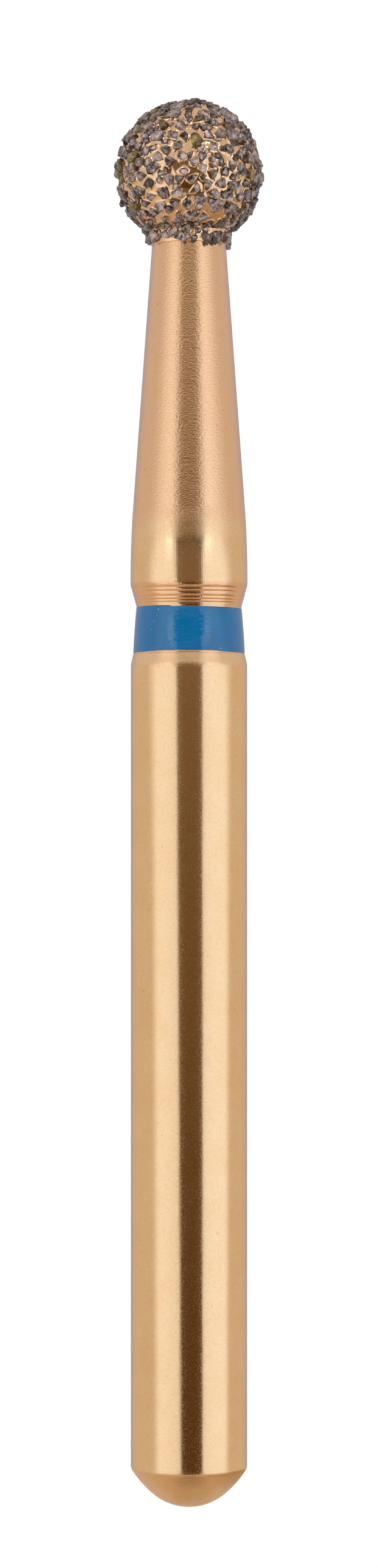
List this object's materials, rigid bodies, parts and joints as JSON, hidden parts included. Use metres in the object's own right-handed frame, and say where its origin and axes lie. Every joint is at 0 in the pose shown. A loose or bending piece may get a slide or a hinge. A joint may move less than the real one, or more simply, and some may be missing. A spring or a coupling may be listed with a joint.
{
  "type": "dental bur",
  "caption": "Round diamond dental bur with a plain friction-grip shank, rounded shank end, blue colour ring and tapered neck.",
  "frame": {"origin": "tip of the rounded shank end, on the bur's axis", "axes": "+Z along the axis from the shank to the head"},
  "size_m": [0.002, 0.002, 0.0193],
  "materials": {
    "gilt_steel": "satin gold-coloured finish on steel",
    "blue_lacquer": "glossy lacquer",
    "plated_bond": "bright gold-coloured electroplate",
    "diamond_grey": "glassy, grey-violet",
    "diamond_olive": "glassy, olive",
    "diamond_pale": "glassy, pale"
  },
  "bodies": {
    "root": {"blank": "gilt_steel", "colour_ring": "blue_lacquer", "bond_layer": "plated_bond", "grains_grey": "diamond_grey", "grains_olive": "diamond_olive", "grains_pale": "diamond_pale"}
  },
  "joints": []
}
